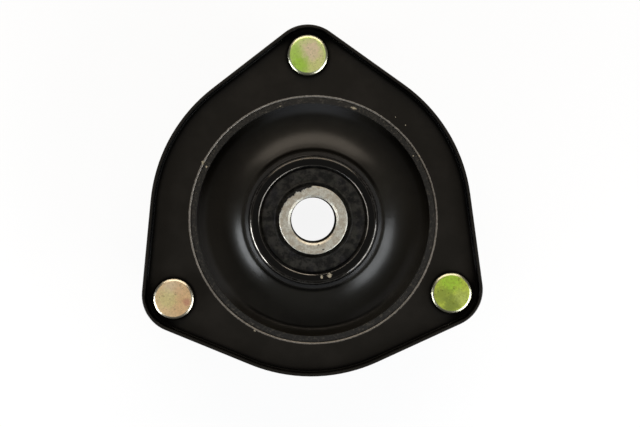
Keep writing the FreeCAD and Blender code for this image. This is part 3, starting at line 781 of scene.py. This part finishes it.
def rubber_grid(settings):
    """The rubber bush turned from its section; the two open faces also wave up and down by a
    smooth random field, most in the middle of the face and not at its edges."""
    low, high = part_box("rubber_bush")
    outer, back, front = high.x, low.z, high.z - settings.ring_height
    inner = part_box("inner_sleeve")[1].x
    shell_foot, shell_top = (corner.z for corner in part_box("bush_shell"))
    under_lip, mouth = shell_top - settings.lip_sheet, outer - settings.lip
    disc_low, disc_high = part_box("inner_plate")
    ring = inner + settings.sleeve_groove
    groove, back_groove = front - settings.groove_depth, back + settings.groove_depth
    collar = outer - settings.collar
    crisp, firm, soft, blunt = 0.1 * MM, 0.12 * MM, 0.2 * MM, 0.3 * MM
    step, rows = 0.4 * MM, 360
    outline = section(
        [
            (outer, shell_foot),
            (outer, under_lip),
            (mouth, under_lip),
            (mouth, groove),
            (mouth - settings.lip_groove, groove, soft),
            (mouth - settings.lip_groove, front, blunt),
            (ring + settings.ring, front, firm),
            (ring + settings.ring, front + settings.ring_height, crisp),
            (ring, front + settings.ring_height, crisp),
            (ring, groove, soft),
            (inner, groove),
            (inner, disc_high.z),
            (disc_high.x, disc_high.z, settings.edge),
            (disc_high.x, disc_low.z, settings.edge),
            (inner, disc_low.z),
            (inner, back_groove),
            (ring, back_groove, blunt),
            (ring, back, soft),
            (collar, back, settings.edge),
            (collar, shell_foot),
        ],
        step,
    )
    radius, height = outline.T
    angle = around(rows)
    x, y = radius * np.cos(angle), radius * np.sin(angle)
    middle = np.clip((radius - ring) * (mouth - radius) / (3 * MM) ** 2, 0, 1)
    open_face = (height > groove - 1 * MM) | (height < back + 0.6 * MM)
    wave = 0.65 * ripple(x, y, 7 * MM, 3) + 0.35 * ripple(x, y, 2.2 * MM, 4)
    return np.stack([x, y, height + open_face * middle * settings.unevenness * wave], -1)


def flash_grid(settings):
    """A torn film of rubber over the sleeve's face: a strip along the sleeve's edge whose inner
    side steps in and out, r(a) = edge - reach(a), with reach a low sill plus a bell over the
    middle, both times a jagged field, and whose section is a flat loop."""
    across, along = 10, 420
    start, sweep, peak, spread = 91, 76, 117, 25  # degrees
    sill, taper = 0.22, 0.02
    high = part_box("inner_sleeve")[1]
    clear = 0.004 * MM
    edge, top = high.x, high.z + clear
    way = np.linspace(0, 1, along)
    degrees = start + sweep * way
    angle = np.radians(degrees)
    ends = np.clip(np.minimum(way, 1 - way) / taper, 0, 1)
    bell = np.exp(-(((degrees - peak) / spread) ** 2))
    jag = 0.75 + 0.3 * ripple(angle, 0 * way, 0.16, 8) + 0.3 * ripple(angle, 0 * way, 0.045, 9)
    reach = (sill + (1 - sill) * bell) * np.clip(jag, 0.15, 1.3) * settings.flash_reach
    loop = around(across)[:, 0]
    inward = 0.5 - 0.5 * np.cos(loop)
    lift = np.clip(0.5 + 0.9 * np.sin(loop), 0, 1)
    outer = edge + settings.overhang * ends
    r = outer[:, None] - ((reach + settings.overhang) * ends)[:, None] * inward
    z = top + (settings.flash * ends)[:, None] * lift
    return np.stack([r * np.cos(angle)[:, None], r * np.sin(angle)[:, None], z], -1)


def add_object(name, data):
    """Puts a mesh, lamp or camera in the scene."""
    made = bpy.data.objects.new(name, data)
    bpy.context.scene.collection.objects.link(made)
    return made


def add_piece(name, grid, material, closed, sharp=40):
    """Makes a piece from a grid of points: rows run round it and close on themselves, columns
    run across its section. Columns close too when the section is a loop; points that fall
    together, as at a pole, become one. Edges over sharp degrees stay sharp."""
    rows, columns = grid.shape[:2]
    row, column = np.meshgrid(
        np.arange(rows), np.arange(columns if closed else columns - 1), indexing="ij"
    )
    onward, beside = (row + 1) % rows, (column + 1) % columns
    corners = ((row, column), (onward, column), (onward, beside), (row, beside))
    faces = np.stack([r * columns + c for r, c in corners], -1).reshape(-1, 4)
    mesh = bpy.data.meshes.new(name)
    mesh.from_pydata(grid.reshape(-1, 3), [], faces)
    shape = bmesh.new()
    shape.from_mesh(mesh)
    bmesh.ops.remove_doubles(shape, verts=shape.verts, dist=WELD)
    bmesh.ops.recalc_face_normals(shape, faces=shape.faces)
    shape.to_mesh(mesh)
    shape.free()
    mesh.shade_smooth()
    mesh.set_sharp_from_angle(angle=math.radians(sharp))
    mesh.materials.append(material)
    piece = add_object(name, mesh)
    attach(piece, "root")
    return piece


def add_lamp(name, tint, power, azimuth, elevation, distance, size):
    """A soft oblong lamp that looks at the bush from an azimuth and elevation in degrees."""
    data = bpy.data.lights.new(name, "AREA")
    data.shape, (data.size, data.size_y) = "RECTANGLE", size
    data.energy, data.color = power, tint
    a, e = math.radians(azimuth), math.radians(elevation)
    away = Vector((math.cos(a) * math.cos(e), math.sin(a) * math.cos(e), math.sin(e)))
    made = add_object(name, data)
    made.location = away * distance
    made.rotation_euler = away.to_track_quat("Z", "Y").to_euler()


def dress_node(node, material):
    """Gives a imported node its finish."""
    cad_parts[node].material_slots[0].material = material


class STRUT_MOUNT_OT_coat_pressings(Operator):
    """Coats the two plates, the dish and the bush shell, wears the coat off their edges, and
    paints shade, sheen and glints on them
    """

    bl_idname = "strut_mount.coat_pressings"
    bl_label = "Coat the pressings"

    plate_masks = {"shade": painted_lip_shade, "bare": plate_bare_and_shade, "chips": plate_chips}
    dish_masks = {
        "shade": dish_shade,
        "bloom_and_sheen": dish_painted_sheen,
        "band": dish_band,
        "crown": neck_crown,
        "chips": dish_chips,
    }
    shell_masks = {"bare": shell_bare_and_glint, "painted_glint": shell_painted_glint, "chips": shell_chips}

    def execute(self, context):
        coat = context.scene.strut_mount_coat
        # The dish gets the lighter copy of the coat, painted light for its hollow.
        black, dish = (coat.coat, coat.worn), (coat.dish_coat, coat.coat)
        shell = (coat.shell_coat, coat.shell_coat)
        satin, glossy = (coat.roughness, coat.gloss), (coat.shell_roughness, coat.shell_gloss)
        for node, name, colours, masks, seed, sheen in (
            ("mounting_plate", "plate_coat", black, self.plate_masks, 0, satin),
            ("bearing_dish", "dish_coat", dish, self.dish_masks, 2, satin),
            ("dome_plate", "dome_coat", black, {}, 4, satin),
            ("bush_shell", "shell_coat", shell, self.shell_masks, 6, glossy),
        ):
            dress_node(node, coat_finish(name, coat, colours, masks, seed, *sheen))
        return {"FINISHED"}


class STRUT_MOUNT_OT_turn_sleeve(Operator):
    """Gives the sleeve and the disc on it their turned steel"""

    bl_idname = "strut_mount.turn_sleeve"
    bl_label = "Turn the sleeve"

    def execute(self, context):
        steel = turned_finish("turned_steel", context.scene.strut_mount_steel)
        dress_node("inner_sleeve", steel)
        dress_node("inner_plate", steel)
        return {"FINISHED"}


class STRUT_MOUNT_OT_mould_rubber(Operator):
    """Moulds the rubber bush and the torn film of rubber on the sleeve's face"""

    bl_idname = "strut_mount.mould_rubber"
    bl_label = "Mould the rubber"

    def execute(self, context):
        settings = context.scene.strut_mount_rubber
        rubber = rubber_finish("moulded_rubber", settings, settings.rubber)
        bush = add_piece("rubber_moulding", rubber_grid(settings), rubber, True)
        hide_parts("rubber_bush")
        film = rubber_finish("torn_film", settings, settings.film)
        add_piece("rubber_flash", flash_grid(settings), film, True, 60)
        return {"FINISHED"}


class STRUT_MOUNT_OT_press_studs(Operator):
    """Makes the three studs, with knurl and thread, each with its own drift of zinc tints"""

    bl_idname = "strut_mount.press_studs"
    bl_label = "Press in the studs"

    # Each stud's ground tint and mottling, and its patches: x, y and size in head radii, tint
    # and strength.
    tints = (
        (
            "green",
            0.3,
            (0.25, -0.35, 0.75, "straw", 0.8),
            (0.12, 0.22, 0.64, "rose", 1.0),
            (-0.62, 0.1, 0.5, "vivid", 0.6),
            (-0.42, -0.52, 0.55, "vivid", 0.85),
        ),
        (
            "tan",
            0.4,
            (0.0, 0.62, 0.6, "rose", 0.7),
            (0.4, 0.25, 0.6, "amber", 0.6),
            (0.4, -0.4, 0.6, "amber", 0.6),
            (-0.3, 0.0, 0.55, "straw", 0.6),
            (0.66, -0.17, 0.2, "rust", 0.75),
        ),
        (
            "olive",
            0.6,
            (-0.1, 0.65, 0.7, "vivid", 0.75),
            (0.45, -0.3, 0.5, "pale", 0.5),
            (-0.45, -0.1, 0.5, "dull", 0.7),
            (-0.05, -0.6, 0.5, "dull", 0.9),
        ),
    )

    def execute(self, context):
        settings = context.scene.strut_mount_stud
        for number, (node, tints) in enumerate(zip(STUDS, self.tints)):
            zinc = zinc_finish(f"zinc_{number + 1}", settings, node, *tints)
            grid = stud_grid(settings, node, 20 + number)
            piece = add_piece(f"threaded_{node}", grid, zinc, False, 32)
            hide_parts(node)
        return {"FINISHED"}


class STRUT_MOUNT_OT_set_stage(Operator):
    """Lays the floor, hangs the lamps and sets the camera over the mount"""

    bl_idname = "strut_mount.set_stage"
    bl_label = "Set the stage"

    # Each lamp's name and tint, its power in watts, azimuth and elevation in degrees, and
    # distance and size in metres.
    lamps = (
        ("lamp_left", "cool", 0.97, 203, 15.5, 0.35, (0.24, 0.095)),
        ("lamp_right", "cool", 1.32, 329, 20, 0.35, (0.32, 0.17)),
        ("lamp_back", "warm", 2.05, 90, 34.5, 0.5, (0.7, 0.27)),
    )

    def execute(self, context):
        stage = context.scene.strut_mount_stage
        self.lay_floor(stage)
        self.light_world(stage)
        for name, tint, *place in self.lamps:
            add_lamp(name, getattr(stage, tint), *place)
        self.set_camera(stage)
        context.scene.view_settings.view_transform = "Standard"
        return {"FINISHED"}

    def lay_floor(self, stage):
        """A round pale floor under the studs' tips, which the camera and reflections see as white
        apart from the mount's soft shadow."""
        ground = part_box(STUDS[0])[0].z
        reach = 6.0  # metres
        angle = around(96)[:, 0]
        rim = np.stack([reach * np.cos(angle), reach * np.sin(angle), 0 * angle + ground], -1)
        mesh = bpy.data.meshes.new("floor")
        mesh.from_pydata(rim, [], [list(range(len(rim)))])
        floor = add_object("floor", mesh)
        pale = Finish("pale_floor")
        path = pale.node("ShaderNodeLightPath").outputs
        rays = ("Camera", "Glossy", "Transmission")
        seen = pale.either(*(path[f"Is {ray} Ray"] for ray in rays))
        white = pale.times(seen, stage.floor_glow)
        matt = pale.node("ShaderNodeBsdfDiffuse", {"Color": (*stage.floor, 1.0)}).outputs[0]
        glow = pale.node("ShaderNodeEmission", {"Color": (1, 1, 1, 1), "Strength": 1.0}).outputs[0]
        mixed = pale.node("ShaderNodeMixShader", {0: white, 1: matt, 2: glow}).outputs[0]
        pale.node("ShaderNodeOutputMaterial", {"Surface": mixed})
        mesh.materials.append(pale.material)

    def light_world(self, stage):
        """Even light from all round, strongest from straight above."""
        world = bpy.data.worlds.new("studio")
        bpy.context.scene.world = world
        world.use_nodes = True
        sky = Nodes(world.node_tree)
        toward = sky.node("ShaderNodeTexCoord").outputs["Generated"]
        height = sky.node("ShaderNodeSeparateXYZ", {0: toward}).outputs["Z"]
        light = sky.mix(sky.fade(height, 0.0, 1.0), stage.horizon, stage.sky)
        back = sky.node("ShaderNodeBackground", {"Color": light}).outputs[0]
        sky.node("ShaderNodeOutputWorld", {"Surface": back})

    def set_camera(self, stage):
        """A camera nearly straight over the mount, rolled a little against the studs."""
        data = bpy.data.cameras.new("camera")
        data.sensor_width = 36.0
        data.lens = data.sensor_width * stage.camera_height / stage.view_width
        data.clip_start, data.clip_end = 0.01, 50.0
        camera = add_object("camera", data)
        camera.location = (*stage.camera_spot, stage.camera_height)
        aim = Vector((*stage.aim, 0.0)) - camera.location
        right = aim.cross(Vector((math.sin(stage.roll), math.cos(stage.roll), 0.0))).normalized()
        up = right.cross(aim).normalized()
        turned = Matrix((right, up, -aim.normalized())).transposed()
        camera.rotation_mode = "QUATERNION"
        camera.rotation_quaternion = turned.to_quaternion()
        bpy.context.scene.camera = camera


class STRUT_MOUNT_PT_panel(Panel):
    """Lists the steps that dress the strut mount"""

    bl_label = "Strut Mount"
    bl_idname = "STRUT_MOUNT_PT_panel"
    bl_space_type = "VIEW_3D"
    bl_region_type = "UI"
    bl_category = "Strut Mount"

    def draw(self, context):
        for step in STEPS:
            self.layout.operator(step.bl_idname)


STEPS = (
    STRUT_MOUNT_OT_coat_pressings,
    STRUT_MOUNT_OT_turn_sleeve,
    STRUT_MOUNT_OT_mould_rubber,
    STRUT_MOUNT_OT_press_studs,
    STRUT_MOUNT_OT_set_stage,
)
SETTINGS = {
    "strut_mount_coat": CoatSettings,
    "strut_mount_rubber": RubberSettings,
    "strut_mount_steel": SteelSettings,
    "strut_mount_stud": StudSettings,
    "strut_mount_stage": StageSettings,
}


def register():
    for name, group in SETTINGS.items():
        bpy.utils.register_class(group)
        setattr(bpy.types.Scene, name, PointerProperty(type=group))
    for made in (*STEPS, STRUT_MOUNT_PT_panel):
        bpy.utils.register_class(made)


def unregister():
    for made in (STRUT_MOUNT_PT_panel, *reversed(STEPS)):
        bpy.utils.unregister_class(made)
    for name, group in SETTINGS.items():
        delattr(bpy.types.Scene, name)
        bpy.utils.unregister_class(group)


def main():
    register()
    for step in STEPS:
        group, name = step.bl_idname.split(".")
        getattr(getattr(bpy.ops, group), name)()
    bpy.context.view_layer.update()


if __name__ == "__main__":
    main()
